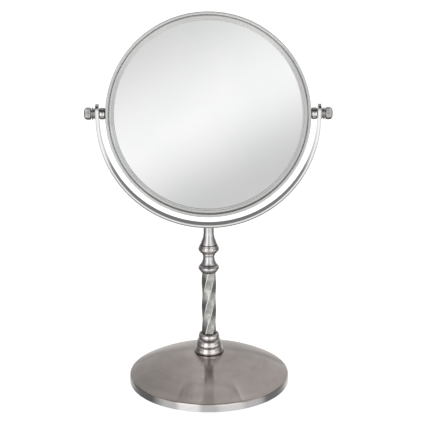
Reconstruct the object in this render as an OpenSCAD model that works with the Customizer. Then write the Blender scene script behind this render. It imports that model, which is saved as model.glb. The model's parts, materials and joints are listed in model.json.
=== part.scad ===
// Table-top swivel vanity mirror: a weighted round base, a turned and twisted stem,
// a U-shaped yoke and a double-sided round mirror head held by two thumb knobs.
// Millimetres. +Z is up, the flat mirror faces -Y, and the origin is the centre of
// the base's underside.

/* [Base] */
// Outer diameter of the base
base_d = 169.2; // [156:0.2:190]
// Height of the base's outer wall, from the floor to where the dome starts
base_edge_h = 8.7; // [7.5:0.1:10]
// Height of the dome's crown above the floor
base_crown_h = 32; // [29:0.5:36]
// Thickness of the spun sheet that the base shell is made of
shell_t = 1.2; // [0.8:0.1:1.5]
// Rounding between the dome and the outer wall
base_round = 2.5; // [2:0.1:4]
// Diameter of the cast weight inside the base
weight_d = 148; // [120:1:150]
// Thickness of the non-slip pad under the base
pad_t = 2.2; // [1.8:0.1:2.6]

/* [Stem] */
// Height of the three-ring collar at the foot of the stem
collar_h = 21; // [18:0.5:26]
// Height of the twisted six-sided column
column_h = 67.4; // [45:0.2:100]
// Distance across the column's ridges
column_d = 15.5; // [14.5:0.1:16.5]
// Turn of the column's ridges over its whole height, in degrees
column_twist = 149; // [90:1:220]
// Height of the turned upper stem with its two beads
turning_h = 49.2; // [44:0.1:56]
// Diameter of the upper stem's two beads
bead_d = 21.9; // [20:0.1:24]
// Diameter of the upper stem's neck, under the yoke
neck_d = 10.8; // [10:0.1:12]
// Diameter of the tie rod through the stem
rod_d = 6; // [5:0.1:6]

/* [Yoke] */
// Width across the outside of the yoke's arms
yoke_w = 226; // [223:0.2:250]
// Thickness of the yoke's flat strip
yoke_t = 3.1; // [2:0.1:3.2]
// Width of the yoke's flat strip
yoke_strip_w = 12.4; // [9:0.1:14]
// Straight length of each arm below the pivots
yoke_drop = 5.1; // [3:0.1:20]
// Height of the arms' rounded tips above the pivots
yoke_tip_h = 9.6; // [8:0.1:14]

/* [Mirror head] */
// Outer diameter of the mirror head
head_d = 205.6; // [200:0.2:207]
// Thickness of the head across its two bezels
head_t = 18; // [18:0.2:22]
// Thickness of each mirror glass
glass_t = 2; // [1.8:0.1:2.2]
// Radius of curvature of the magnifying glass
magnifier_r = 650; // [620:10:2000]
// Height of the pivots above the head's centre
head_drop = 1.6; // [0:0.1:2]
// Backward tilt of the head at rest, in degrees
head_tilt = 15.5; // [-20:0.5:20]

/* [Pivots] */
// Diameter of the pivot screws
pivot_d = 4; // [3.5:0.1:4.5]
// Diameter of the polished spacers between the head and the yoke
spacer_d = 11.8; // [11:0.1:13]
// Diameter of the knobs' knurled heads
knob_d = 12.5; // [12:0.1:16]
// Length of each knob's knurled head
knob_head_l = 7.3; // [6:0.1:12]

/* [Hidden] */
$fn = 96;
// clearance between the parts of one assembly, on the radius
fit = 0.03;
// running clearance on the radius between a shaft and its hole
run = 0.08;
// gap between flat faces that turn against each other
face_gap = 0.06;
// length by which a cutting shape passes the face it cuts
over = 1;

base_r = base_d / 2;
dome_rise = base_crown_h - base_edge_h;
dome_r = (base_r * base_r + dome_rise * dome_rise) / (2 * dome_rise);
dome_z = base_crown_h - dome_r;
shell_z = 0.8;
pad_r = base_r - shell_t - 1.8;
weight_top = 12;
weight_boss_r = 19;
rod_hole_r = rod_d / 2 + 0.3;
nut_flats = 10;
nut_t = 4;
washer_r = 8;
washer_t = 1.2;
nut_recess_r = 9.5;
nut_recess_z = 8;

collar_z = base_crown_h;
column_z = collar_z + collar_h;
turning_z = column_z + column_h;
yoke_z = turning_z + turning_h;
rod_top = turning_z + 29;
screw_depth = 14;
screw_d = 5;
screw_head_r = 4.6;
screw_head_t = 2.2;

yoke_r = yoke_w / 2;
yoke_in_r = yoke_r - yoke_t;
pivot_z = yoke_z + yoke_r + yoke_drop;

head_r = head_d / 2;
half_t = head_t / 2;
rim_w = 3.1;
rim_wall = 1.2;
rim_crest = half_t - 1;
rim_lip = 2.4;
groove_w = 0.7;
bezel_w = 4.8;
bezel_lip_w = 1.9;
bezel_step = 0.4;
bezel_out = head_r - rim_w - groove_w;
bezel_in = bezel_out - bezel_w;
crown_r = 11;
glass_r = bezel_in + 1.5;
glass_z = half_t - 2.1;
board_t = 0.7;
tape_t = 0.5;
core_z = glass_z - glass_t - board_t - tape_t;
core_in = glass_r - 3.5;
core_out = head_r - rim_wall - 0.8;
boss_r = 3.2;
boss_in = core_in + 1;
boss_out = head_r + 2;

slip_t = 0.45;
slip_r = 4.75;
spacer_end = yoke_in_r - face_gap - slip_t;
outer_washer_r = 5.75;
outer_washer_t = 0.9;
knob_z = yoke_r + face_gap + outer_washer_t;
collar_r = 5;
collar_l = 1.7;
neck_r = 4.1;
flange_r = 6.4;
flange_l = 0.8;
knob_head_z = knob_z + collar_l + flange_l + 0.9;
knob_end = knob_head_z + knob_head_l;
pivot_in = boss_in + 1.5;
pivot_out = knob_head_z + 3;

nickel = [0.74, 0.73, 0.71];
polished = [0.88, 0.88, 0.88];
zinc = [0.66, 0.68, 0.72];
iron = [0.25, 0.25, 0.26];
foam_black = [0.12, 0.12, 0.13];
silvered = [0.9, 0.92, 0.93];
moulded = [0.2, 0.2, 0.22];
card = [0.72, 0.65, 0.52];
slip_white = [0.93, 0.93, 0.9];

// ---- curves -------------------------------------------------------------------

// one point of a smooth curve that passes through b and c
function between(a, b, c, d, t) =
    0.5 * (2 * b + (c - a) * t + (2 * a - 5 * b + 4 * c - d) * t * t
        + (3 * b - a - 3 * c + d) * t * t * t);

// a smooth curve through a list of [radius, height] points
function smooth_line(points, steps = 5) =
    let (last = len(points) - 1)
    concat(
        [for (i = [0 : last - 1]) for (k = [0 : steps - 1])
            between(points[max(i - 1, 0)], points[i], points[i + 1],
                points[min(i + 2, last)], k / steps)],
        [points[last]]);

// a rounded ring: from radius low at height z0, out to widest, and in to high at z1
function ring_line(low, widest, high, z0, z1, steps = 8) =
    [for (k = [0 : 2 * steps])
        let (a = -90 + 90 * k / steps, side = a < 0 ? low : high)
        [side + (widest - side) * cos(a), (z0 + z1) / 2 + (z1 - z0) / 2 * sin(a)]];

// a solid turned about the upright axis from an outline of [radius, height] points
module turned(outline) {
    first = outline[0];
    last = outline[len(outline) - 1];
    rotate_extrude()
        polygon(concat([[0, first[1]]], outline, [[0, last[1]]]));
}

// ---- places -------------------------------------------------------------------

// the head's own frame: +Z out of the flat glass, +Y up, origin at the head's centre
module in_head() {
    translate([0, 0, pivot_z]) rotate([90 - head_tilt, 0, 0])
        translate([0, -head_drop, 0]) children();
}

// a pivot's own frame: +Z outwards along the pivot axis; side is 1 right, -1 left
module at_pivot(side) {
    translate([0, 0, pivot_z])
        mirror([side < 0 ? 1 : 0, 0, 0]) rotate([0, 90, 0]) children();
}

// a ring about +Z from one height to another
module tube(outer, inner, z0, z1) {
    translate([0, 0, z0]) difference() {
        cylinder(r = outer, h = z1 - z0);
        translate([0, 0, -over]) cylinder(r = inner, h = z1 - z0 + 2 * over);
    }
}

// ---- base ---------------------------------------------------------------------

// half section of a dome on a straight wall, with a rounded shoulder; inset moves
// the whole outline inwards, for the inside of a sheet of that thickness
module dome_section(inset, bottom) {
    wall = base_r - inset;
    ball = dome_r - inset;
    round_r = base_round - inset;
    shoulder = [wall - round_r,
        dome_z + sqrt(pow(ball - round_r, 2) - pow(wall - round_r, 2))];
    away = (shoulder - [0, dome_z]) / norm(shoulder - [0, dome_z]);
    difference() {
        intersection() {
            translate([0, bottom]) square([wall, base_crown_h]);
            translate([0, dome_z]) circle(r = ball, $fn = 720);
        }
        difference() {
            polygon([shoulder, shoulder + 3 * round_r * away,
                shoulder + [3 * round_r, round_r], shoulder + [3 * round_r, 0]]);
            translate(shoulder) circle(r = round_r);
        }
    }
}

module base_shell() {
    color(nickel) difference() {
        rotate_extrude() difference() {
            dome_section(0, shell_z);
            dome_section(shell_t, shell_z - over);
        }
        cylinder(r = rod_hole_r, h = 2 * base_crown_h);
    }
}

module base_weight() {
    color(iron) difference() {
        intersection() {
            union() {
                tube(weight_d / 2, rod_hole_r, pad_t, weight_top);
                tube(weight_boss_r, rod_hole_r, pad_t, base_crown_h);
            }
            translate([0, 0, dome_z]) sphere(r = dome_r - shell_t - fit, $fn = 180);
        }
        translate([0, 0, pad_t - over]) cylinder(r = nut_recess_r, h = nut_recess_z - pad_t + over);
    }
}

module base_pad() {
    color(foam_black) cylinder(r = pad_r, h = pad_t);
}

module rod_washer() {
    color(zinc) tube(washer_r, rod_d / 2 + fit, nut_recess_z - washer_t, nut_recess_z);
}

module rod_nut() {
    color(zinc) translate([0, 0, nut_recess_z - washer_t - nut_t]) difference() {
        cylinder(r = nut_flats / 2 / cos(30), h = nut_t, $fn = 6);
        translate([0, 0, -over]) cylinder(r = rod_d / 2 + fit, h = nut_t + 2 * over);
    }
}

module tie_rod() {
    low = nut_recess_z - washer_t - nut_t - 0.4;
    color(zinc) translate([0, 0, low]) cylinder(r = rod_d / 2, h = rod_top - low);
}

// ---- stem ---------------------------------------------------------------------

// three rings that step inwards, each with a rounded wall and a sloping top
module foot_collar() {
    z = collar_z;
    up = collar_h / 21;
    color(nickel) difference() {
        turned(concat(
            smooth_line([[14.2, z - over], [15, z + 0.5 * up], [15.2, z + 2.3 * up],
                [14.8, z + 4.1 * up], [14, z + 5.9 * up], [13.1, z + 7.2 * up]]),
            smooth_line([[13.1, z + 7.3 * up], [13.4, z + 8.8 * up], [13.2, z + 10.8 * up],
                [12.4, z + 12.6 * up], [11.4, z + 14 * up], [10.6, z + 14.9 * up]]),
            smooth_line([[10.6, z + 15 * up], [11, z + 16.2 * up], [11.1, z + 17.6 * up],
                [10.7, z + 19.2 * up], [9.8, z + 20.4 * up], [8.5, z + 21 * up]])));
        translate([0, 0, dome_z]) sphere(r = dome_r + fit, $fn = 720);
        cylinder(r = rod_hole_r, h = 2 * column_z);
    }
}

module twisted_column() {
    color(nickel) translate([0, 0, column_z]) difference() {
        linear_extrude(height = column_h, twist = -column_twist, slices = 50, $fn = 48)
            intersection() {
                circle(r = column_d / 2 + 0.25, $fn = 6);
                circle(r = column_d / 2, $fn = 72);
            }
        translate([0, 0, -over]) cylinder(r = rod_hole_r, h = column_h + 2 * over);
    }
}

// the upper stem: two beads with sloping tops, a waist with a small step between them,
// and a bell-shaped neck whose top is hollowed to sit against the curved yoke
module stem_turning() {
    z = turning_z;
    bead = bead_d / 2;
    neck = neck_d / 2;
    color(nickel) difference() {
        turned(concat(
            smooth_line([[8, z], [9.6, z + 1.9], [bead - 0.3, z + 3.6], [bead, z + 5.2],
                [bead - 0.7, z + 6.7], [9, z + 8.2], [7.8, z + 10.1], [6.8, z + 12.3],
                [6.2, z + 14.6], [6, z + 16.6], [6.2, z + 18.7]]),
            ring_line(6.5, 6.8, 6.7, z + 18.8, z + 20.6, 3),
            smooth_line([[7.2, z + 20.9], [9.2, z + 22], [bead - 0.4, z + 24],
                [bead, z + 25.8], [bead - 0.6, z + 27.5], [9.4, z + 29.3], [8.9, z + 30.3]]),
            smooth_line([[8.6, z + 30.4], [8.2, z + 32.2], [7.3, z + 34.6], [6.3, z + 37.2],
                [neck + 0.3, z + 40], [neck, z + 43], [neck, yoke_z + over]])));
        translate([0, 0, pivot_z - yoke_drop]) rotate([90, 0, 0])
            cylinder(r = yoke_r, h = 4 * neck_d, center = true, $fn = 720);
        translate([0, 0, z - over]) cylinder(r = rod_d / 2 + fit, h = rod_top - z + 2 * over);
        translate([0, 0, yoke_z - screw_depth]) cylinder(r = screw_d / 2 + fit, h = 2 * screw_depth);
    }
}

// ---- yoke ---------------------------------------------------------------------

module yoke_arm(side) {
    straight = yoke_drop + yoke_tip_h - yoke_strip_w / 2;
    at_pivot(side) translate([0, 0, yoke_in_r]) linear_extrude(height = yoke_t) {
        translate([-straight + yoke_drop, -yoke_strip_w / 2]) square([straight, yoke_strip_w]);
        translate([-straight + yoke_drop, 0]) circle(d = yoke_strip_w);
    }
}

module yoke() {
    color(polished) difference() {
        union() {
            translate([0, 0, pivot_z - yoke_drop]) rotate([90, 0, 0])
                linear_extrude(height = yoke_strip_w, center = true) difference() {
                    circle(r = yoke_r, $fn = 720);
                    circle(r = yoke_in_r, $fn = 720);
                    translate([-2 * yoke_r, 0]) square([4 * yoke_r, 2 * yoke_r]);
                }
            for (side = [-1, 1]) yoke_arm(side);
        }
        for (side = [-1, 1])
            at_pivot(side) cylinder(r = pivot_d / 2 + run, h = yoke_w);
        translate([0, 0, yoke_z - over]) cylinder(r = screw_d / 2 + fit, h = 3 * yoke_t);
        translate([0, 0, yoke_z + yoke_t - screw_head_t])
            cylinder(r1 = screw_d / 2 + fit, r2 = screw_head_r + fit, h = screw_head_t);
        translate([0, 0, yoke_z + yoke_t]) cylinder(r = screw_head_r + fit, h = yoke_t);
    }
}

module yoke_screw() {
    slot_w = 0.9;
    slot_l = 5;
    slot_deep = 1.3;
    top = yoke_z + yoke_t;
    color(zinc) difference() {
        union() {
            translate([0, 0, yoke_z - screw_depth + 1.5]) cylinder(d = screw_d, h = screw_depth);
            translate([0, 0, top - screw_head_t])
                cylinder(r1 = screw_d / 2, r2 = screw_head_r, h = screw_head_t);
        }
        for (turn = [0, 90])
            rotate([0, 0, turn]) translate([-slot_l / 2, -slot_w / 2, top - slot_deep])
                cube([slot_l, slot_w, 2 * slot_deep]);
    }
}

// ---- mirror head --------------------------------------------------------------

// the holes for the two pivot bosses, in the head's own frame
module boss_holes() {
    for (side = [-1, 1])
        translate([0, head_drop, 0]) rotate([0, 90 * side, 0])
            cylinder(r = boss_r + fit, h = head_d);
}

// half section of a gently crowned edge from radius r0 to r1 that reaches up to z
module crowned_edge(r0, r1, z, corner0, corner1) {
    middle = (r0 + corner0 + r1 - corner1) / 2;
    half = (r1 - corner1 - r0 - corner0) / 2;
    sag = crown_r - sqrt(crown_r * crown_r - half * half);
    low = z - sag - max(corner0, corner1);
    translate([r0 + corner0, z - sag - corner0]) circle(r = corner0);
    translate([r1 - corner1, z - sag - corner1]) circle(r = corner1);
    translate([r0, low - 1]) square([r1 - r0, 1 + z - sag - corner0 - low]);
    translate([middle, low - 1]) square([r1 - middle, 1 + z - sag - corner1 - low]);
    intersection() {
        translate([middle, z - crown_r]) circle(r = crown_r, $fn = 720);
        translate([middle - half, low - 1]) square([2 * half, z - low + 1]);
    }
}

// outer band: a channel open inwards, with crowned front and back edges
module rim_band() {
    inside_z = rim_crest - rim_lip;
    wall_z = rim_crest - 1.5;
    color(nickel) in_head() difference() {
        rotate_extrude() difference() {
            union() {
                for (flip = [0, 1]) mirror([0, flip])
                    crowned_edge(head_r - rim_w, head_r, rim_crest, 0.5, 0.9);
                translate([head_r - rim_w, -wall_z]) square([rim_w, 2 * wall_z]);
            }
            translate([head_r - rim_w - over, -inside_z])
                square([rim_w + over - rim_wall, 2 * inside_z]);
        }
        boss_holes();
    }
}

// crowned bezel whose flange is held inside the rim band and whose lower inner lip
// holds the glass
module bezel() {
    inside_z = rim_crest - rim_lip;
    flange_t = 1.3;
    lip_r = bezel_in + bezel_lip_w;
    face_z = half_t - 1.5;
    rotate_extrude() difference() {
        union() {
            crowned_edge(lip_r - 0.2, bezel_out, half_t, 0.5, 0.8);
            crowned_edge(bezel_in, lip_r + 0.4, half_t - bezel_step, 0.6, 0.3);
            translate([glass_r + 0.2, core_z + 0.1])
                square([bezel_out - glass_r - 0.2, face_z - core_z - 0.1]);
            translate([glass_r + 0.2, inside_z - flange_t - fit])
                square([core_out - glass_r - 0.2, flange_t]);
        }
        translate([bezel_in - over, 0]) square([glass_r + 0.1 - bezel_in + over, glass_z + fit]);
    }
}

module front_bezel() {
    color(nickel) in_head() bezel();
}

module rear_bezel() {
    color(nickel) in_head() mirror([0, 0, 1]) bezel();
}

module front_glass() {
    color(silvered) in_head() translate([0, 0, glass_z - glass_t])
        cylinder(r = glass_r, h = glass_t, $fn = 180);
}

// concave magnifying glass: a sheet bent to a sphere, hollow towards the back
module rear_glass() {
    ball_z = -glass_z - sqrt(pow(magnifier_r, 2) - pow(glass_r, 2));
    color(silvered) in_head() rotate_extrude() intersection() {
        translate([0, -glass_z]) square([glass_r, head_t]);
        difference() {
            translate([0, ball_z]) circle(r = magnifier_r + glass_t, $fn = 2880);
            translate([0, ball_z]) circle(r = magnifier_r, $fn = 2880);
        }
    }
}

module core_ring() {
    color(moulded) in_head() difference() {
        tube(core_out, core_in, -core_z, core_z);
        boss_holes();
    }
}

module backing_board() {
    color(card) in_head() translate([0, 0, glass_z - glass_t - board_t])
        cylinder(r = glass_r - 0.4, h = board_t);
}

module front_tape() {
    color(foam_black) in_head() tube(glass_r - 0.4, core_in + 0.4, core_z, core_z + tape_t);
}

module rear_tape() {
    color(foam_black) in_head() tube(glass_r - 0.4, core_in + 0.9, -core_z - tape_t, -core_z);
}

// ---- pivots -------------------------------------------------------------------

// threaded boss set in the rim
module boss(side) {
    color(zinc) at_pivot(side) tube(boss_r, pivot_d / 2 + run, boss_in, boss_out);
}

// polished bead between the rim and the yoke, hollowed at one end to fit the rim
module spacer(side) {
    bead_r = spacer_d / 2;
    round_r = 1.9;
    start = head_r - over;
    low = head_r + 0.4 + round_r;
    high = spacer_end - round_r;
    color(polished) difference() {
        at_pivot(side) difference() {
            rotate_extrude() {
                translate([0, start]) square([bead_r - round_r, spacer_end - start]);
                translate([0, low]) square([bead_r, high - low]);
                for (z = [low, high]) translate([bead_r - round_r, z]) circle(r = round_r);
            }
            cylinder(r = boss_r + fit, h = boss_out + fit);
            cylinder(r = pivot_d / 2 + run, h = yoke_w);
        }
        in_head() cylinder(r = head_r + fit, h = 3 * head_t, center = true);
    }
}

// thin plastic washer that the head turns on
module slip_washer(side) {
    color(slip_white) at_pivot(side)
        tube(slip_r, pivot_d / 2 + run, spacer_end, spacer_end + slip_t);
}

module outer_washer(side) {
    color(nickel) at_pivot(side)
        tube(outer_washer_r, pivot_d / 2 + run, knob_z - outer_washer_t, knob_z);
}

module pivot_screw(side) {
    color(zinc) at_pivot(side) translate([0, 0, pivot_in])
        cylinder(d = pivot_d, h = pivot_out - pivot_in);
}

// turned thumb knob: collar, neck, thin flange, cove and rounded grip
module knob(side) {
    grip_r = knob_d / 2;
    round_r = 2.2;
    flange_z = knob_z + collar_l;
    color(nickel) at_pivot(side) difference() {
        rotate_extrude() difference() {
            union() {
                translate([0, knob_z]) square([collar_r, collar_l - 0.3]);
                translate([0, knob_z]) square([neck_r, knob_end - knob_z]);
                translate([0, flange_z]) square([flange_r - flange_l / 2, flange_l]);
                translate([flange_r - flange_l / 2, flange_z + flange_l / 2]) circle(d = flange_l);
                translate([0, knob_head_z + round_r]) square([grip_r, knob_head_l - 2 * round_r]);
                translate([0, knob_head_z]) square([grip_r - round_r, knob_head_l]);
                for (z = [knob_head_z + round_r, knob_end - round_r])
                    translate([grip_r - round_r, z]) circle(r = round_r);
            }
            translate([-2 * knob_d, 0]) square([2 * knob_d, 2 * knob_end]);
        }
        cylinder(r = pivot_d / 2 + fit, h = pivot_out + fit);
    }
}

// ---- nodes --------------------------------------------------------------------

base_shell();
base_weight();
base_pad();
tie_rod();
rod_nut();
rod_washer();
foot_collar();
twisted_column();
stem_turning();
yoke();
yoke_screw();
rim_band();
front_bezel();
rear_bezel();
front_glass();
rear_glass();
core_ring();
backing_board();
front_tape();
rear_tape();
boss(-1);  // left_boss
boss(1);  // right_boss
spacer(-1);  // left_spacer
spacer(1);  // right_spacer
slip_washer(-1);  // left_slip_washer
slip_washer(1);  // right_slip_washer
outer_washer(-1);  // left_outer_washer
outer_washer(1);  // right_outer_washer
pivot_screw(-1);  // left_pivot_screw
pivot_screw(1);  // right_pivot_screw
knob(-1);  // left_knob
knob(1);  // right_knob
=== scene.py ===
"""Looks of a table-top swivel vanity mirror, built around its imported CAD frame.

Satin nickel stand, polished yoke, double-sided round mirror. Everything is in
metres, in the frame's own axes: +Z up, the flat mirror faces -Y.
"""

import json
import math

import bmesh
import bpy
from mathutils import Euler, Matrix, Vector


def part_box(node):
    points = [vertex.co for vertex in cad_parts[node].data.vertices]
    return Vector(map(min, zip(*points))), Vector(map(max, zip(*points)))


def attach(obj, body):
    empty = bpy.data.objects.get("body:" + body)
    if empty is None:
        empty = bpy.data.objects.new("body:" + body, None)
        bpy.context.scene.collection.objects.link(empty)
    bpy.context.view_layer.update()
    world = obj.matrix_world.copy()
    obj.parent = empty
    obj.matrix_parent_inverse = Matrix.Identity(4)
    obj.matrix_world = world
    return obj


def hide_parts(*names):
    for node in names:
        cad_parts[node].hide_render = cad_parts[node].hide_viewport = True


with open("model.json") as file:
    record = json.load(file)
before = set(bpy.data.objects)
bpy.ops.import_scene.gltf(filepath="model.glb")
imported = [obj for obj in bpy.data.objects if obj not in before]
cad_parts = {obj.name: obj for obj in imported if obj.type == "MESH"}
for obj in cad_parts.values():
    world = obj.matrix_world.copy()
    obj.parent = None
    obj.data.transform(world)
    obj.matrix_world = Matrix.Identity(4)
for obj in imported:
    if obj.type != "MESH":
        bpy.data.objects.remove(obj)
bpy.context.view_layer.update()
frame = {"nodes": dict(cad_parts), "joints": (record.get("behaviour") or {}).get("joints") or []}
nodes = frame["nodes"]

MM = 0.001
# The head turns about the line through PIVOT along X, and leans back by HEAD_TILT at rest.
PIVOT = Vector(next(j for j in frame["joints"] if j["name"] == "head_tilt")["pos_m"])
HEAD_TILT = math.radians(15.5)


# ---- camera ---------------------------------------------------------------------

CAMERA_DISTANCE = 1.0567
CAMERA_HEIGHT = 0.4724
CAMERA_PITCH = math.radians(15.29)
CAMERA_ROLL = math.radians(-0.12)
CAMERA_SIDE = 0.005
CAMERA_LENS = 89.69


def make_camera():
    """The camera in front of and a little above the mirror, looking slightly down."""
    camera = bpy.data.objects.new("camera", bpy.data.cameras.new("camera"))
    bpy.context.scene.collection.objects.link(camera)
    camera.data.lens = CAMERA_LENS
    camera.data.sensor_width = 36
    camera.data.clip_end = 100
    camera.location = (CAMERA_SIDE, -CAMERA_DISTANCE, CAMERA_HEIGHT)
    pitch = Matrix.Rotation(math.pi / 2 - CAMERA_PITCH, 3, "X")
    camera.rotation_euler = (pitch @ Matrix.Rotation(CAMERA_ROLL, 3, "Z")).to_euler()
    bpy.context.scene.camera = camera


# ---- node helpers ---------------------------------------------------------------

def node(tree, kind, inputs=None, **settings):
    """Adds a shader node; an input is a plain value or the output that feeds it."""
    made = tree.nodes.new(kind)
    for name, value in settings.items():
        setattr(made, name, value)
    for name, value in (inputs or {}).items():
        if isinstance(value, bpy.types.NodeSocket):
            tree.links.new(value, made.inputs[name])
        else:
            made.inputs[name].default_value = value
    return made


def calc(tree, operation, a, b=0.0):
    """The output of a Math node."""
    return node(tree, "ShaderNodeMath", {0: a, 1: b}, operation=operation).outputs[0]


def spread(tree, value, low, high, out_low=0.0, out_high=1.0, smooth=True):
    """Maps value from low..high to out_low..out_high, clamped."""
    kind = "SMOOTHSTEP" if smooth else "LINEAR"
    return node(tree, "ShaderNodeMapRange", {"Value": value, "From Min": low,
                "From Max": high, "To Min": out_low, "To Max": out_high},
                interpolation_type=kind).outputs[0]


def mix_colour(tree, share, a, b):
    """Colour a where share is 0, colour b where it is 1."""
    made = tree.nodes.new("ShaderNodeMix")
    made.data_type = "RGBA"
    for index, value in ((0, share), (6, a), (7, b)):
        if isinstance(value, bpy.types.NodeSocket):
            tree.links.new(value, made.inputs[index])
        else:
            made.inputs[index].default_value = value
    return made.outputs[2]


def noise(tree, vector, scale, detail=3.0, roughness=0.55):
    """A noise value around 0.5."""
    return node(tree, "ShaderNodeTexNoise", {"Vector": vector, "Scale": scale,
                "Detail": detail, "Roughness": roughness}).outputs["Fac"]


def rgb(red, green, blue):
    """A colour in linear light."""
    return (red, green, blue, 1.0)


def scaled(colour, factor):
    """A darker or lighter colour of the same hue."""
    return rgb(*(min(1, factor * part) for part in colour[:3]))


def object_place(tree):
    """The place on a piece at rest, in the frame's own axes."""
    return node(tree, "ShaderNodeTexCoord").outputs["Object"]


def object_axes(tree):
    """The X, Y and Z outputs of the place on a piece."""
    return node(tree, "ShaderNodeSeparateXYZ", {0: object_place(tree)}).outputs


def new_material(name):
    """An empty material with a Principled shader: (material, tree, shader)."""
    material = bpy.data.materials.new(name)
    material.use_nodes = True
    tree = material.node_tree
    return material, tree, tree.nodes["Principled BSDF"]


# ---- where the turning axes are -------------------------------------------------

# Each axis is (a point on it, the rotation that takes +Z to its direction).
STAND_AXIS = ((0, 0, 0), (0, 0, 0))
HEAD_AXIS = (tuple(sum(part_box("rim_band"), Vector()) / 2), (math.pi / 2 - HEAD_TILT, 0, 0))
PIVOT_AXIS = (tuple(PIVOT), (0, math.pi / 2, 0))


def axis_space(tree, axis):
    """The place on a piece in the frame of a turning axis, whose +Z runs along it."""
    return node(tree, "ShaderNodeMapping", {"Vector": object_place(tree),
                "Location": axis[0], "Rotation": axis[1]}, vector_type="TEXTURE").outputs[0]


def ring_space(tree, axis):
    """The place about a turning axis, and (radius, height) as one vector that is the
    same all round."""
    place = axis_space(tree, axis)
    flat = node(tree, "ShaderNodeVectorMath", {0: place, 1: (1, 1, 0)}, operation="MULTIPLY")
    radius = node(tree, "ShaderNodeVectorMath", {0: flat.outputs[0]}, operation="LENGTH")
    height = node(tree, "ShaderNodeSeparateXYZ", {0: place}).outputs["Z"]
    ring = node(tree, "ShaderNodeCombineXYZ", {"X": radius.outputs["Value"], "Y": height})
    return place, ring.outputs[0]


def window(tree, value, start, end, soft):
    """1 between start and end, 0 outside, with edges that are 2 * soft wide."""
    rise = spread(tree, value, start - soft, start + soft)
    fall = spread(tree, value, end - soft, end + soft, 1.0, 0.0)
    return calc(tree, "MULTIPLY", rise, fall)


BAND_SOFT = 0.25 * MM


def banded(tree, base, ring, marks):
    """Paints bands round the axis: mostly painted shade in the creases, and a plain plate colour
    where a band gives one.

    A mark is (direction, from, to, strength, colour): direction is "X" for the radius
    or "Y" for the distance along the axis on either side, and the places are in mm."""
    axes = node(tree, "ShaderNodeSeparateXYZ", {0: ring}).outputs
    for direction, start, end, strength, colour in marks:
        value = calc(tree, "ABSOLUTE", axes[direction])
        share = window(tree, value, start * MM, end * MM, BAND_SOFT)
        base = mix_colour(tree, calc(tree, "MULTIPLY", share, strength), base, colour)
    return base


QUARTER_TURN = 0.25


def lines_round(tree, shader, axis, strength):
    """Stretches a shader's highlights across lines that run round a turning axis."""
    arm = node(tree, "ShaderNodeVectorMath", {0: object_place(tree), 1: axis[0]},
               operation="SUBTRACT")
    along = Euler(axis[1]).to_matrix() @ Vector((0, 0, 1))
    line = node(tree, "ShaderNodeVectorMath", {0: along, 1: arm.outputs[0]},
                operation="CROSS_PRODUCT")
    turned = node(tree, "ShaderNodeVectorTransform", {"Vector": line.outputs[0]},
                  vector_type="VECTOR", convert_from="OBJECT", convert_to="WORLD")
    tree.links.new(turned.outputs[0], shader.inputs["Tangent"])
    shader.inputs["Anisotropic"].default_value = strength
    shader.inputs["Anisotropic Rotation"].default_value = QUARTER_TURN


# ---- materials ------------------------------------------------------------------

def turned_nickel(name, axis, colour, rough, line=0.25, line_height=4e-6, patch=0.05,
                  stretch=0.2, marks=(), tint=None, shading=None):
    """Nickel plate over fine turning lines that run round the axis.

    line is the lines' spacing in mm, line_height their depth in metres, patch how much
    the roughness varies over a few centimetres, stretch how far the lines drag the
    highlights across them, marks the bands of painted shade and of plate colour, tint a
    second colour that the plate drifts to, and shading a function that paints light and shade over
    the rest."""
    material, tree, shader = new_material(name)
    place, ring = ring_space(tree, axis)
    lines = noise(tree, ring, 1 / (line * MM), 4.0, 0.7)
    bands = noise(tree, ring, 1 / (9 * line * MM), 2.0)
    clouds = noise(tree, place, 45.0, 3.0)
    specks = noise(tree, place, 2600.0, 2.0)
    base = mix_colour(tree, spread(tree, clouds, 0.3, 0.7), scaled(colour, 0.86), colour)
    base = mix_colour(tree, spread(tree, bands, 0.35, 0.65, 0.0, 0.22), base,
                      scaled(colour, 1.1))
    if tint:
        drift = spread(tree, noise(tree, place, 16.0, 2.0), 0.4, 0.6, 0.0, 0.8)
        base = mix_colour(tree, drift, base, tint)
    base = banded(tree, base, ring, marks)
    if shading:
        base = shading(tree, base)
    tree.links.new(base, shader.inputs["Base Color"])
    polish = calc(tree, "ADD", spread(tree, clouds, 0.3, 0.7, rough - patch, rough + patch),
                  spread(tree, lines, 0.2, 0.8, -0.03, 0.05))
    tree.links.new(polish, shader.inputs["Roughness"])
    height = calc(tree, "ADD", lines, calc(tree, "MULTIPLY", specks, 0.35))
    bump = node(tree, "ShaderNodeBump", {"Height": height, "Distance": line_height,
                "Strength": 1.0})
    tree.links.new(bump.outputs[0], shader.inputs["Normal"])
    shader.inputs["Metallic"].default_value = 1.0
    lines_round(tree, shader, axis, stretch)
    return material


# Painted shade: the colour that creases, grooves, undersides and corners are darkened towards.
PAINTED_SHADE = rgb(0.05, 0.045, 0.045)
# The colour of the painted highlight on the rim.
PAINTED_HIGHLIGHT_NICKEL = rgb(0.95, 0.94, 0.93)
YOKE_SHADE = rgb(0.16, 0.155, 0.155)
YOKE_BOW_SHADE = rgb(0.15, 0.147, 0.145)
YOKE_STRIP = 3.1 * MM
RIM_GROOVE = (98.2 * MM, 100.1 * MM)


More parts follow.
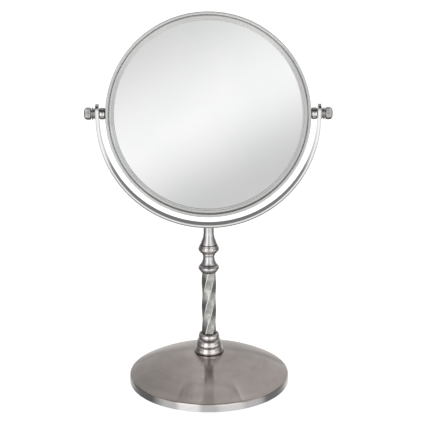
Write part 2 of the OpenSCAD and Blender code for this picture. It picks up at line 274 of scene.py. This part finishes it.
def rim_painted_light(tree, base):
    """Painted light on the rim: a painted highlight towards its top and bottom, and painted shade
    in the groove round it, darkest at the bottom.
    """
    ring = ring_space(tree, HEAD_AXIS)[1]
    radius = node(tree, "ShaderNodeSeparateXYZ", {0: ring}).outputs["X"]
    high = object_axes(tree)["Z"]
    # Painted highlight towards the rim's top and bottom.
    top = spread(tree, high, PIVOT.z + 30 * MM, PIVOT.z + 95 * MM, 0.0, 0.6)
    bottom = spread(tree, high, PIVOT.z - 95 * MM, PIVOT.z - 30 * MM, 0.34, 0.0)
    base = mix_colour(tree, calc(tree, "ADD", top, bottom), base, PAINTED_HIGHLIGHT_NICKEL)
    # Painted shade in the groove, strongest at the bottom.
    strength = spread(tree, high, PIVOT.z - 95 * MM, PIVOT.z - 20 * MM, 0.62, 0.12)
    groove = window(tree, radius, *RIM_GROOVE, 0.3 * MM)
    return mix_colour(tree, calc(tree, "MULTIPLY", groove, strength), base, PAINTED_SHADE)


def pivot_painted_shade(tree, base):
    """Painted shade on the undersides of the knobs and washers."""
    high = object_axes(tree)["Z"]
    share = spread(tree, high, PIVOT.z - 4.2 * MM, PIVOT.z - 2.0 * MM, 0.85, 0.0)
    return mix_colour(tree, share, base, PAINTED_SHADE)


def spacer_painted_highlight(tree, base):
    """Paints a highlight round the middle of each spacer and painted shade over the rest."""
    # How dark the painted shade is outside the painted highlight.
    shade_level = 0.62
    low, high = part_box("right_spacer")
    axes = object_axes(tree)
    along = calc(tree, "ABSOLUTE", axes["X"])
    middle = window(tree, along, low.x + 0.9 * MM, high.x - 0.9 * MM, 0.35 * MM)
    tall = window(tree, axes["Z"], PIVOT.z - 2.4 * MM, PIVOT.z + 1.5 * MM, 0.5 * MM)
    bright = calc(tree, "MULTIPLY", calc(tree, "MULTIPLY", middle, tall), -shade_level)
    return mix_colour(tree, calc(tree, "ADD", bright, shade_level), base, PAINTED_SHADE)


def yoke_painted_shade(tree, base):
    """Painted shade on the yoke's outer corners, its tips and the inside of its bow."""
    low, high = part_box("yoke")
    axes = object_axes(tree)
    bow_centre = low.z + high.x
    drop = calc(tree, "MINIMUM", calc(tree, "SUBTRACT", axes["Z"], bow_centre), 0.0)
    arm = node(tree, "ShaderNodeCombineXYZ", {"X": axes["X"], "Y": drop}).outputs[0]
    reach = node(tree, "ShaderNodeVectorMath", {0: arm}, operation="LENGTH").outputs["Value"]

    # Painted shade on the outer corners, strongest low down.
    outside = spread(tree, reach, high.x - 1.5 * MM, high.x - 0.9 * MM)
    strength = spread(tree, axes["Z"], low.z, PIVOT.z, 0.85, 0.25)
    base = mix_colour(tree, calc(tree, "MULTIPLY", outside, strength), base, YOKE_SHADE)

    # Painted shade on the tips of the arms.
    tip = spread(tree, axes["Z"], high.z - 4.8 * MM, high.z - 3.6 * MM, 0, 0.6)
    base = mix_colour(tree, tip, base, YOKE_SHADE)

    # Painted shade inside the bow, fading out above its bottom.
    inside_r = high.x - YOKE_STRIP
    inside = spread(tree, reach, inside_r + 0.2 * MM, inside_r + 0.6 * MM, 0.85, 0.0)
    strength = spread(tree, axes["Z"], PIVOT.z - 60 * MM, PIVOT.z - 40 * MM, 1.0, 0.0)
    return mix_colour(tree, calc(tree, "MULTIPLY", inside, strength), base, YOKE_BOW_SHADE)


def polished_nickel(name, colour, rough=0.08, shading=None):
    """Bright plate with faint scratches and soft polishing haze."""
    material, tree, shader = new_material(name)
    place = object_place(tree)
    haze = noise(tree, place, 60.0, 4.0)
    stretched = node(tree, "ShaderNodeMapping", {"Vector": place, "Scale": (300, 4000, 900),
                     "Rotation": (0.3, 0.2, 0.5)}).outputs[0]
    scratches = noise(tree, stretched, 1.0, 3.0, 0.7)
    base = mix_colour(tree, spread(tree, haze, 0.35, 0.65), scaled(colour, 0.93), colour)
    if shading:
        base = shading(tree, base)
    tree.links.new(base, shader.inputs["Base Color"])
    polish = calc(tree, "ADD", spread(tree, haze, 0.3, 0.7, rough - 0.03, rough + 0.04),
                  spread(tree, scratches, 0.62, 0.75, 0.0, 0.06))
    tree.links.new(polish, shader.inputs["Roughness"])
    bump = node(tree, "ShaderNodeBump", {"Height": scratches, "Distance": 1.5e-6,
                "Strength": 0.8})
    tree.links.new(bump.outputs[0], shader.inputs["Normal"])
    shader.inputs["Metallic"].default_value = 1.0
    return material


def mirror_glass(name):
    """Silvered glass: a clean reflection with the faintest haze."""
    material, tree, shader = new_material(name)
    haze = noise(tree, object_place(tree), 14.0, 3.0)
    base = mix_colour(tree, spread(tree, haze, 0.35, 0.65), rgb(0.90, 0.91, 0.91),
                      rgb(0.93, 0.935, 0.93))
    tree.links.new(base, shader.inputs["Base Color"])
    tree.links.new(spread(tree, haze, 0.3, 0.7, 0.012, 0.03), shader.inputs["Roughness"])
    shader.inputs["Metallic"].default_value = 1.0
    shader.inputs["Coat Weight"].default_value = 1.0
    shader.inputs["Coat Roughness"].default_value = 0.01
    return material


def plain_surface(name, colour, rough, metallic, grain, grain_height, variation=0.12):
    """A matt or plated surface: grain is the grain's size in mm, grain_height in metres,
    and variation how far its colour drifts."""
    material, tree, shader = new_material(name)
    place = object_place(tree)
    fine = noise(tree, place, 1 / (grain * MM), 3.0, 0.6)
    broad = noise(tree, place, 1 / (14 * grain * MM), 3.0)
    base = mix_colour(tree, spread(tree, broad, 0.3, 0.7), scaled(colour, 1 - variation),
                      scaled(colour, 1 + variation))
    tree.links.new(base, shader.inputs["Base Color"])
    tree.links.new(spread(tree, fine, 0.25, 0.75, rough - 0.08, min(1, rough + 0.08)),
                   shader.inputs["Roughness"])
    bump = node(tree, "ShaderNodeBump", {"Height": fine, "Distance": grain_height,
                "Strength": 0.9})
    tree.links.new(bump.outputs[0], shader.inputs["Normal"])
    shader.inputs["Metallic"].default_value = metallic
    return material


COLUMN_SIDES = 6
COLUMN_TWIST = math.radians(149)
# The colour of the painted highlight along the column's ridges.
RIDGE_HIGHLIGHT = rgb(0.86, 0.85, 0.83)


def twisted_nickel(name, colour, rough):
    """Nickel on the twisted column: blotchy flats between ridges with a painted highlight."""
    material, tree, shader = new_material(name)
    low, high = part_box("twisted_column")
    place = object_place(tree)
    axes = object_axes(tree)
    turn = spread(tree, axes["Z"], low.z, high.z, 0.0, COLUMN_TWIST, smooth=False)
    angle = calc(tree, "SUBTRACT", calc(tree, "ARCTAN2", axes["Y"], axes["X"]), turn)
    side = calc(tree, "FRACT", calc(tree, "MULTIPLY", angle, COLUMN_SIDES / (2 * math.pi)))
    from_middle = calc(tree, "ABSOLUTE", calc(tree, "SUBTRACT", side, 0.5))
    ridge = spread(tree, from_middle, 0.43, 0.49)
    blotches = noise(tree, place, 190.0, 3.0, 0.6)
    grain = noise(tree, place, 2400.0, 2.0)
    base = mix_colour(tree, spread(tree, blotches, 0.38, 0.62), scaled(colour, 0.72), colour)
    # Painted highlight along the ridges.
    base = mix_colour(tree, calc(tree, "MULTIPLY", ridge, 0.8), base, RIDGE_HIGHLIGHT)
    tree.links.new(base, shader.inputs["Base Color"])
    polish = calc(tree, "SUBTRACT", spread(tree, blotches, 0.35, 0.65, rough + 0.04, rough - 0.04),
                  calc(tree, "MULTIPLY", ridge, 0.12))
    tree.links.new(polish, shader.inputs["Roughness"])
    height = calc(tree, "ADD", blotches, calc(tree, "MULTIPLY", grain, 0.06))
    bump = node(tree, "ShaderNodeBump", {"Height": height, "Distance": 6e-5, "Strength": 0.8})
    tree.links.new(bump.outputs[0], shader.inputs["Normal"])
    shader.inputs["Metallic"].default_value = 1.0
    return material


# Bands as banded() takes them: painted shade in the grooves between the rings of the foot
# collar and the stem, by height; painted shade in the crease round the collar on the dome,
# and the plate of its upright wall; and painted shade in the creases behind the knobs, by distance
# from the middle.
STAND_CREASES = tuple(("Y", start, end, strength, PAINTED_SHADE) for start, end, strength in (
    (30.8, 31.9, 0.75), (39.0, 39.6, 0.65), (46.6, 47.3, 0.6), (52.6, 53.4, 0.65),
    (119.9, 121.2, 0.75), (128.4, 129.5, 0.6), (138.8, 139.5, 0.6), (140.9, 141.9, 0.75),
    (150.2, 151.1, 0.85)))
DOME_BANDS = (("X", 14.0, 15.9, 0.75, PAINTED_SHADE), ("Y", -1.0, 7.6, 1.0, rgb(0.6, 0.59, 0.585)))
PIVOT_CREASES = (("Y", 113.0, 115.3, 0.45, PAINTED_SHADE), ("Y", 116.0, 116.5, 0.6, PAINTED_SHADE))

MATERIALS = {
    "foot": turned_nickel("foot_nickel", STAND_AXIS, rgb(0.68, 0.64, 0.63), 0.16,
                          marks=STAND_CREASES),
    "stand": turned_nickel("stand_nickel", STAND_AXIS, rgb(0.615, 0.6, 0.592), 0.16,
                           marks=STAND_CREASES),
    "column": twisted_nickel("column_nickel", rgb(0.47, 0.465, 0.45), 0.3),
    "dome": turned_nickel("dome_nickel", STAND_AXIS, rgb(0.63, 0.565, 0.53), 0.16, 0.35, 4e-7,
                          0.012, 1.0, DOME_BANDS),
    "rim": turned_nickel("rim_nickel", HEAD_AXIS, rgb(0.565, 0.58, 0.57), 0.24, 0.3, 1.5e-6,
                         0.03, 0.5, tint=rgb(0.575, 0.56, 0.56), shading=rim_painted_light),
    "pivot": turned_nickel("pivot_nickel", PIVOT_AXIS, rgb(0.62, 0.6, 0.59), 0.23, 0.2,
                           marks=PIVOT_CREASES, shading=pivot_painted_shade),
    "spacer": polished_nickel("spacer_nickel", rgb(0.84, 0.835, 0.825), 0.1, spacer_painted_highlight),
    "yoke": polished_nickel("yoke_nickel", rgb(0.87, 0.865, 0.86), 0.07, yoke_painted_shade),
    "glass": mirror_glass("silvered_glass"),
    "zinc": plain_surface("zinc_plate", rgb(0.58, 0.6, 0.63), 0.35, 1.0, 0.3, 4e-6),
    "iron": plain_surface("cast_iron", rgb(0.11, 0.11, 0.115), 0.7, 0.7, 0.8, 6e-5),
    "foam": plain_surface("pad_foam", rgb(0.035, 0.035, 0.038), 0.85, 0.0, 0.5, 8e-5),
    "moulded": plain_surface("moulded_core", rgb(0.06, 0.06, 0.065), 0.5, 0.0, 0.3, 1e-5),
    "card": plain_surface("card_board", rgb(0.5, 0.43, 0.33), 0.9, 0.0, 0.4, 3e-5),
    "nylon": plain_surface("slip_nylon", rgb(0.82, 0.82, 0.79), 0.45, 0.0, 0.4, 5e-6, 0.04),
}

NODE_MATERIALS = {
    "base_shell": "dome", "base_weight": "iron", "base_pad": "foam",
    "tie_rod": "zinc", "rod_nut": "zinc", "rod_washer": "zinc",
    "foot_collar": "foot", "twisted_column": "stand", "stem_turning": "stand",
    "yoke": "yoke", "yoke_screw": "yoke",
    "rim_band": "rim", "front_bezel": "rim", "rear_bezel": "rim",
    "front_glass": "glass", "rear_glass": "glass", "core_ring": "moulded",
    "backing_board": "card", "front_tape": "foam", "rear_tape": "foam",
}
PAIR_MATERIALS = {
    "boss": "zinc", "spacer": "spacer", "slip_washer": "nylon", "outer_washer": "pivot",
    "pivot_screw": "zinc", "knob": "pivot",
}


def dress_frame():
    """Gives every CAD node its material."""
    wanted = dict(NODE_MATERIALS)
    for part, key in PAIR_MATERIALS.items():
        for side in ("left", "right"):
            wanted[f"{side}_{part}"] = key
    for name, key in wanted.items():
        mesh = nodes[name].data
        mesh.materials.clear()
        mesh.materials.append(MATERIALS[key])


# ---- pieces that take the place of plain CAD shapes -----------------------------

def loft(name, rings, material, closed=False):
    """A mesh through rings of points; closed joins the last ring to the first."""
    mesh = bmesh.new()
    loops = [[mesh.verts.new(p) for p in ring] for ring in rings]
    count = len(loops[0])
    pairs = list(zip(loops, loops[1:])) + ([(loops[-1], loops[0])] if closed else [])
    for low, high in pairs:
        for i in range(count):
            j = (i + 1) % count
            mesh.faces.new((low[i], low[j], high[j], high[i]))
    if not closed:
        mesh.faces.new(list(reversed(loops[0])))
        mesh.faces.new(loops[-1])
    bmesh.ops.recalc_face_normals(mesh, faces=mesh.faces)
    data = bpy.data.meshes.new(name)
    mesh.to_mesh(data)
    mesh.free()
    data.polygons.foreach_set("use_smooth", [True] * len(data.polygons))
    data.materials.append(MATERIALS[material])
    piece = bpy.data.objects.new(name, data)
    bpy.context.scene.collection.objects.link(piece)
    return piece


def finish_piece(piece, node_name, body):
    """Puts a piece in a CAD node's place."""
    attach(piece, body)
    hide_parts(node_name)


COLUMN_BORE = 3.3 * MM
COLUMN_RADIUS = 8.0 * MM
RIDGE_RADIUS = 7.75 * MM
RIDGE_ROUNDING = 26
COLUMN_AROUND, COLUMN_STEPS = 144, 150


def make_column():
    """The twisted six-sided column, with softly rounded ridges and a bore for the rod."""
    low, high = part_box("twisted_column")
    half = math.pi / COLUMN_SIDES
    ridge_r = min(RIDGE_RADIUS, (high.x - low.x) / 2)
    flat_r = COLUMN_RADIUS * math.cos(half)
    turns = [2 * math.pi * i / COLUMN_AROUND for i in range(COLUMN_AROUND)]

    def radius(angle):
        off = angle % (2 * half) - half
        flat, ridge = math.cos(off) / flat_r, 1 / ridge_r
        return (flat ** RIDGE_ROUNDING + ridge ** RIDGE_ROUNDING) ** (-1 / RIDGE_ROUNDING)

    def circle(size, turn, z):
        return [Vector((size(a) * math.cos(a + turn), size(a) * math.sin(a + turn), z))
                for a in turns]

    rings = []
    for k in range(COLUMN_STEPS + 1):
        share = k / COLUMN_STEPS
        rings.append(circle(radius, share * COLUMN_TWIST, low.z + share * (high.z - low.z)))
    for z in (high.z, low.z):
        rings.append(circle(lambda a: COLUMN_BORE, 0.0, z))
    column = loft("column", rings, "column", closed=True)
    finish_piece(column, "twisted_column", "stand")


def arc(centre, radius, start, end, steps):
    """Points on an arc from angle start to end in degrees, as (along, out) pairs."""
    angles = [math.radians(start + (end - start) * i / steps) for i in range(steps + 1)]
    return [(centre[0] + radius * math.cos(a), centre[1] + radius * math.sin(a))
            for a in angles]


KNURLS = 34
KNURL_POINTS = 6
KNURL_DEPTH = 0.42 * MM
KNURL_RUN_OUT = 0.5 * MM
THINNEST_KNURLED = 4.5 * MM
GRIP_LENGTH, GRIP_RADIUS = 7.3, 6.25
GRIP_SHOULDER, GRIP_END = 1.7, 3.5


def knob_profile(length):
    """The knob's outline as (along, radius) in mm: collar, flange, neck and grip."""
    grip = length - GRIP_LENGTH
    outline = [(0, 2.1), (0, 4.7)] + arc((0.3, 4.7), 0.3, 180, 90, 3)
    outline += [(1.2, 5.0), (1.45, 4.8), (1.5, 4.3), (1.7, 4.3), (1.7, 5.9)]
    outline += arc((2.1, 6.0), 0.4, 180, 0, 8)
    outline += [(2.5, 5.0), (2.55, 4.2), (2.9, 4.1), (grip, 4.15)]
    outline += arc((grip + GRIP_SHOULDER, GRIP_RADIUS - GRIP_SHOULDER), GRIP_SHOULDER,
                   180, 90, 8)
    outline += [(grip + along, GRIP_RADIUS) for along in (2.4, 3.0, 3.5)]
    outline += arc((length - GRIP_END, GRIP_RADIUS - GRIP_END), GRIP_END, 90, 10, 14)
    outline += [(length - 0.02, 2.4), (length - 0.05, 2.0), (length, 1.2), (length, 0.4)]
    return [(along * MM, radius * MM) for along, radius in outline]


def make_knob(side):
    """A turned thumb knob: collar, thin flange and a barrel grip with straight knurls."""
    name = "left" if side < 0 else "right"
    low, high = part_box(f"{name}_knob")
    start, end = sorted((abs(low.x), abs(high.x)))
    length = (end - start) / MM
    knurl_from = (length - GRIP_LENGTH + 1.0) * MM
    knurl_to = (length - 1.5) * MM
    around = KNURLS * KNURL_POINTS
    rings = []
    for along, radius in knob_profile(length):
        inside = min(along - knurl_from, knurl_to - along) / KNURL_RUN_OUT
        share = max(0.0, min(1.0, 0.5 + inside)) if radius > THINNEST_KNURLED else 0.0
        ring = []
        for i in range(around):
            a = 2 * math.pi * i / around
            groove = (0.5 - 0.5 * math.cos(KNURLS * a)) ** 2
            r = radius - share * KNURL_DEPTH * groove
            ring.append(Vector((side * (start + along), r * math.cos(a),
                                PIVOT.z + r * math.sin(a))))
        rings.append(ring)
    knob = loft(f"{name}_thumb_grip", rings, "pivot")
    finish_piece(knob, f"{name}_knob", f"{name}_thumb_knob")


GLASS_BACK = 6.9 * MM
GLASS_THICKNESS = 2.0 * MM
GLASS_INSET = 0.3 * MM
GLASS_AROUND, GLASS_STEPS = 180, 40
MAGNIFIER_RADIUS = 650 * MM


def make_rear_glass():
    """The dished magnifying glass: the CAD shape with an evenly curved surface."""
    centre, turn = Vector(HEAD_AXIS[0]), Euler(HEAD_AXIS[1]).to_matrix()
    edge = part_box("rear_glass")[1].x
    ball = -GLASS_BACK - math.sqrt(MAGNIFIER_RADIUS ** 2 - edge ** 2)
    step = (edge - 2 * GLASS_INSET) / GLASS_STEPS
    radii = [GLASS_INSET + step * i for i in range(GLASS_STEPS + 1)] + [edge]
    angles = [2 * math.pi * i / GLASS_AROUND for i in range(GLASS_AROUND)]

    def dish(curve, sizes):
        return [[centre + turn @ Vector((size * math.cos(a), size * math.sin(a),
                                         ball + math.sqrt(curve ** 2 - size ** 2)))
                 for a in angles] for size in sizes]

    rings = dish(MAGNIFIER_RADIUS, radii)
    rings += dish(MAGNIFIER_RADIUS + GLASS_THICKNESS, reversed(radii))
    glass = loft("rear_mirror", rings, "glass")
    finish_piece(glass, "rear_glass", "head")


ROUNDED_EDGES = {"yoke": 1.1, "left_outer_washer": 0.18, "right_outer_washer": 0.18,
                 "yoke_screw": 0.2, "rod_nut": 0.4, "rod_washer": 0.2, "base_pad": 0.5}
SHARP_ANGLE = math.radians(40)


def round_edges():
    """Breaks the sharp edges of the plain CAD shapes, by a width in mm."""
    for name, width in ROUNDED_EDGES.items():
        piece = nodes[name]
        weld = piece.modifiers.new("weld", "WELD")
        weld.merge_threshold = 1e-6
        bevel = piece.modifiers.new("rounded_edges", "BEVEL")
        bevel.width = width * MM
        bevel.segments = 3
        bevel.limit_method = "ANGLE"
        bevel.angle_limit = SHARP_ANGLE
        bevel.use_clamp_overlap = True
        normals = piece.modifiers.new("normals", "WEIGHTED_NORMAL")
        normals.keep_sharp = False


# ---- stage ----------------------------------------------------------------------

FLOOR_HALF = 30.0
FLOOR_GLOW = 0.75


def make_floor():
    """A wide pale floor. Polished metal sees the studio's own light in its place."""
    half = FLOOR_HALF
    mesh = bpy.data.meshes.new("floor")
    mesh.from_pydata([(-half, -half, 0), (half, -half, 0), (half, half, 0), (-half, half, 0)],
                     [], [(0, 1, 2, 3)])
    floor = bpy.data.objects.new("floor", mesh)
    bpy.context.scene.collection.objects.link(floor)
    material, tree, shader = new_material("pale_floor")
    mottle = noise(tree, object_place(tree), 3.0)
    base = mix_colour(tree, mottle, rgb(0.9, 0.9, 0.9), rgb(0.93, 0.93, 0.93))
    tree.links.new(base, shader.inputs["Base Color"])
    shader.inputs["Roughness"].default_value = 0.9
    shader.inputs["Emission Color"].default_value = rgb(1, 1, 1)
    shader.inputs["Emission Strength"].default_value = FLOOR_GLOW
    mesh.materials.append(material)
    floor.visible_glossy = False
    floor.visible_shadow = False


def blend(tree, share, a, b):
    """a where share is 0, b where it is 1."""
    return node(tree, "ShaderNodeMix", {0: share, 2: a, 3: b}).outputs[0]


def both(tree, first, second):
    """1 where both shares are 1."""
    return calc(tree, "MULTIPLY", first, second)


# The studio is a brightness for each direction (x, y, z), a unit vector: z is -1 straight
# down, y is -1 straight in front of the mirror and +1 straight behind it. The share of a
# part of the studio runs over the directions that it fills.
NEAR_TABLE_LIGHT = 0.8
TABLE_EDGE_SHADE = 0.62
OVERHEAD_FLAG = 0.13
UNDER_FRONT = 0.5
ROOM_LOW, ROOM_HIGH = 0.72, 0.46
LOW_CORNERS = 0.3
FAR_SIDES = 0.2
DARK_FLOOR = 0.08
CEILING_PANEL = 1.1
CEILING_STRUT = 0.1
BACK_FLAG = 0.42
STRAIGHT_BELOW = 2.2
BACKDROP = 1.05

# The direction, above level, that the flat glass sends the camera's view to.
GLASS_LOOKS_UP = 2 * HEAD_TILT - math.radians(9.9)
STREAK_ANGLE = math.radians(27.2)
STREAK_PEAK, STREAK_SIDES = 1.0, 0.64
STREAK_FROM, STREAK_MIDDLE, STREAK_TO = -0.122, -0.002, 0.078


def glass_streak(tree, way):
    """A soft slanting strip of light through the place that the flat glass looks at."""
    across = Vector((math.sin(STREAK_ANGLE),
                     -math.cos(STREAK_ANGLE) * math.sin(GLASS_LOOKS_UP),
                     -math.cos(STREAK_ANGLE) * math.cos(GLASS_LOOKS_UP)))
    offset = node(tree, "ShaderNodeVectorMath", {0: way, 1: across},
                  operation="DOT_PRODUCT").outputs["Value"]
    rise = spread(tree, offset, STREAK_FROM, STREAK_MIDDLE)
    fall = spread(tree, offset, STREAK_MIDDLE, STREAK_TO, 1.0, 0.0)
    return spread(tree, both(tree, rise, fall), 0, 1, STREAK_SIDES, STREAK_PEAK,
                  smooth=False)


# Where the open front and its two soft boxes stand: from, to and soft edge in degrees of
# azimuth, which is 0 towards -Y and grows to the right; then a soft box's brightness.
OPEN_FRONT = (-75, 85, 14)
SOFT_BOXES = ((-45, -13, 5, 1.75), (14, 50, 6, 1.4))
NEAR_TO_FAR_TABLE = (-0.43, -0.38)


def front_light(tree, way):
    """In front of the mirror: a white table, what the flat glass sees above it, two soft
    boxes, a shaded strip at the table's far edge and a dark flag overhead."""
    axes = node(tree, "ShaderNodeSeparateXYZ", {0: way}).outputs
    x, y, z = axes["X"], axes["Y"], axes["Z"]
    azimuth = calc(tree, "MULTIPLY", 180 / math.pi,
                   calc(tree, "ARCTAN2", x, calc(tree, "MULTIPLY", y, -1.0)))
    far_table = spread(tree, z, -0.25, -0.19, 0.93, 1.1)
    table = blend(tree, spread(tree, z, -0.41, -0.37), NEAR_TABLE_LIGHT, far_table)
    below = spread(tree, z, -0.05, 0.03, 1.0, 0.0)
    ahead = blend(tree, below, glass_streak(tree, way), table)
    sides = spread(tree, z, *NEAR_TO_FAR_TABLE, 0.42, 0.16)
    light = blend(tree, window(tree, azimuth, *OPEN_FRONT), sides, ahead)

    power = spread(tree, z, *NEAR_TO_FAR_TABLE, 0.72, 1.0)
    for start, end, soft, brightness in SOFT_BOXES:
        light = blend(tree, window(tree, azimuth, start, end, soft), light,
                      calc(tree, "MULTIPLY", power, brightness))

    table_edge = window(tree, z, -0.37, -0.31, 0.015)
    light = blend(tree, table_edge, light, calc(tree, "MULTIPLY", light, TABLE_EDGE_SHADE))
    light = blend(tree, spread(tree, z, 0.52, 0.76), light, OVERHEAD_FLAG)
    return blend(tree, spread(tree, z, -0.5, -0.7), light, UNDER_FRONT)


def back_light(tree, way):
    """Behind the mirror: a grey room with dark corners and a dark floor, brighter to the
    right, with a light panel and a dark strut overhead and a flag straight behind."""
    axes = node(tree, "ShaderNodeSeparateXYZ", {0: way}).outputs
    x, y, z = axes["X"], axes["Y"], axes["Z"]
    sideways = calc(tree, "ABSOLUTE", x)
    light = blend(tree, spread(tree, z, -0.3, 0.25), ROOM_LOW, ROOM_HIGH)
    low_corner = both(tree, spread(tree, sideways, 0.45, 0.75),
                      spread(tree, z, -0.18, -0.08, 1.0, 0.0))
    light = blend(tree, low_corner, light, LOW_CORNERS)
    far_side = both(tree, spread(tree, sideways, 0.7, 0.85),
                    spread(tree, z, 0.35, 0.5, 1.0, 0.0))
    light = blend(tree, far_side, light, FAR_SIDES)
    light = blend(tree, spread(tree, z, -0.6, -0.72), light, DARK_FLOOR)

    to_the_right = spread(tree, x, -0.5, 0.4, 0.86, 1.16, smooth=False)
    middle = calc(tree, "MULTIPLY", window(tree, x, -0.15, 0.02, 0.08), 0.3)
    in_the_middle = calc(tree, "ADD", middle, 1.0)
    above = spread(tree, z, 0.75, 0.95, 1.0, 1.2)
    for gain in (to_the_right, in_the_middle, above):
        light = calc(tree, "MULTIPLY", light, gain)

    overhead = spread(tree, z, 0.7, 0.8)
    panel = both(tree, window(tree, x, -0.24, 0.33, 0.06), window(tree, y, 0.2, 0.34, 0.06))
    light = blend(tree, both(tree, panel, overhead), light, CEILING_PANEL)
    strut = both(tree, window(tree, x, -0.07, 0.05, 0.02), window(tree, y, 0.09, 0.2, 0.02))
    light = blend(tree, both(tree, strut, overhead), light, CEILING_STRUT)
    flag = both(tree, window(tree, y, 0.95, 0.98, 0.007), spread(tree, z, -0.13, -0.03))
    return blend(tree, flag, light, BACK_FLAG)


def studio_light(tree, way):
    """Brightness of the studio in each direction, with a lit patch straight below."""
    axes = node(tree, "ShaderNodeSeparateXYZ", {0: way}).outputs
    behind = spread(tree, axes["Y"], -0.12, 0.06)
    around = blend(tree, behind, front_light(tree, way), back_light(tree, way))
    return blend(tree, spread(tree, axes["Z"], -0.952, -0.968), around, STRAIGHT_BELOW)


def make_lights():
    """The studio as a world, which the camera itself sees as plain white."""
    world = bpy.data.worlds.new("studio")
    bpy.context.scene.world = world
    world.use_nodes = True
    tree = world.node_tree
    background = tree.nodes["Background"]
    way = node(tree, "ShaderNodeTexCoord").outputs["Generated"]
    seen = node(tree, "ShaderNodeLightPath").outputs["Is Camera Ray"]
    tree.links.new(blend(tree, seen, studio_light(tree, way), BACKDROP),
                   background.inputs["Strength"])
    background.inputs["Color"].default_value = rgb(1, 1, 1)


def set_colours():
    """Plain colour rendering, with no film look."""
    bpy.context.scene.view_settings.view_transform = "Standard"
    bpy.context.scene.view_settings.look = "None"


make_camera()
dress_frame()
make_column()
for side in (-1, 1):
    make_knob(side)
make_rear_glass()
round_edges()
make_floor()
make_lights()
set_colours()
